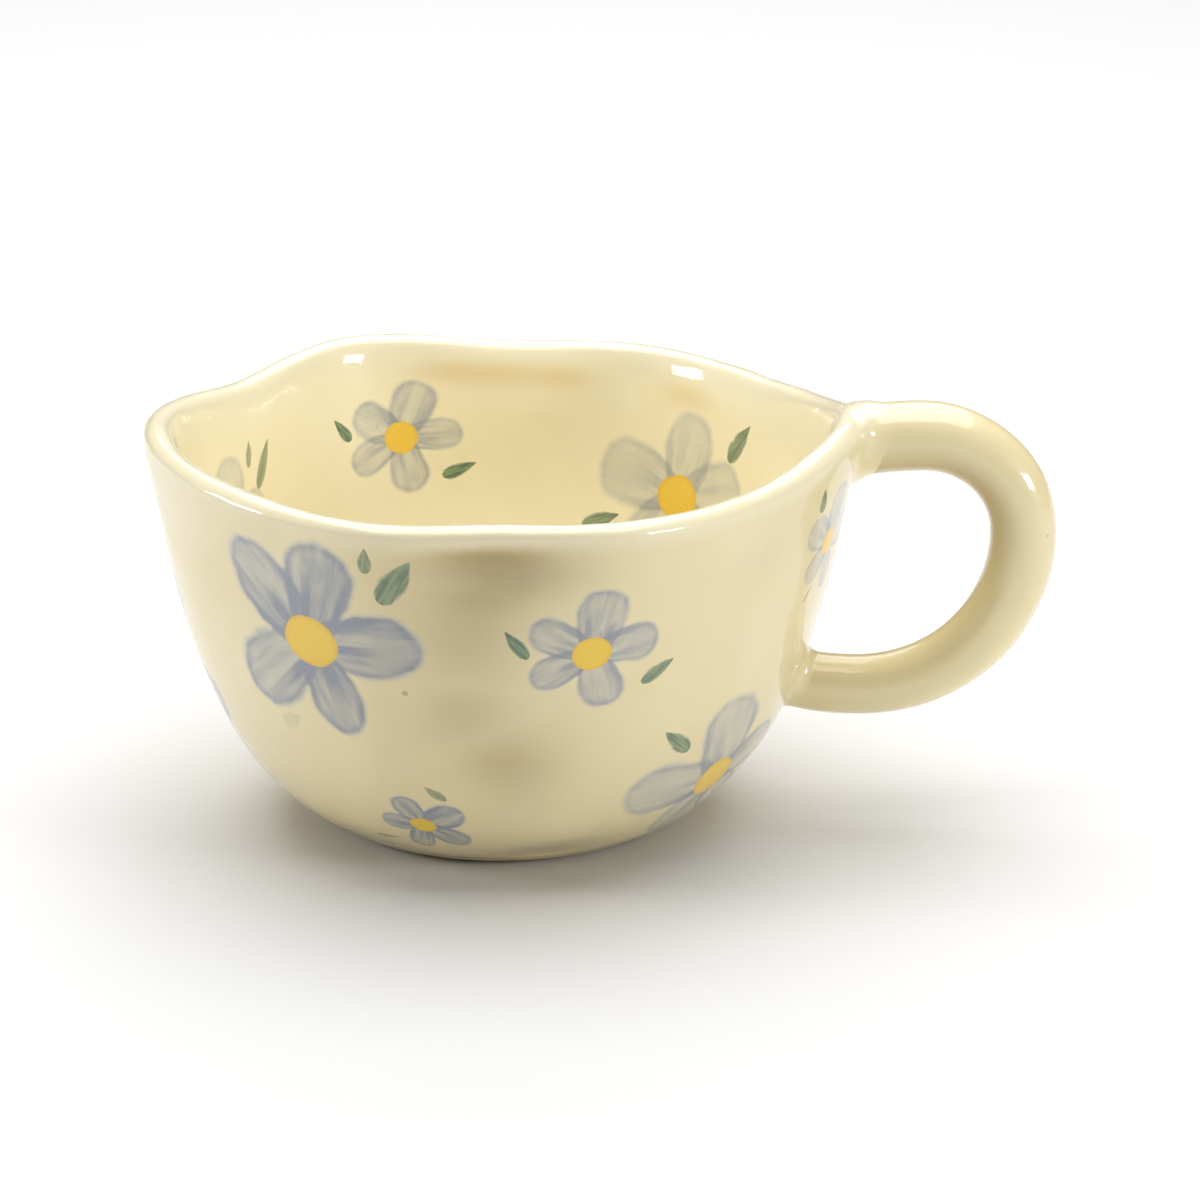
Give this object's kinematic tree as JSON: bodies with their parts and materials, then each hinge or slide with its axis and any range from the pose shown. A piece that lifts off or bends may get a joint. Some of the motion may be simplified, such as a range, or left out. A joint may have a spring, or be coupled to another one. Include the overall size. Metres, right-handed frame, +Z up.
{
  "type": "mug",
  "caption": "Wide hand-pinched stoneware cup with a wavy lip, a thick round loop handle, cream glaze and brush-painted blue flowers inside and out.",
  "frame": {"origin": "middle of the foot, on the plane the mug stands on", "axes": "+Z up out of the mouth, +X towards the handle, which is turned 4 degrees towards -Y"},
  "size_m": [0.144, 0.1113, 0.0689],
  "materials": {
    "painted_glaze": "glossy cream glaze over blue-grey brushed flowers",
    "cream_glaze": "glossy cream glaze",
    "bare_clay": "matt unglazed stoneware"
  },
  "bodies": {
    "root": {"bowl": "painted_glaze", "handle": "cream_glaze", "upper_luting": "painted_glaze", "lower_luting": "painted_glaze", "foot_ring": "bare_clay"}
  },
  "joints": []
}
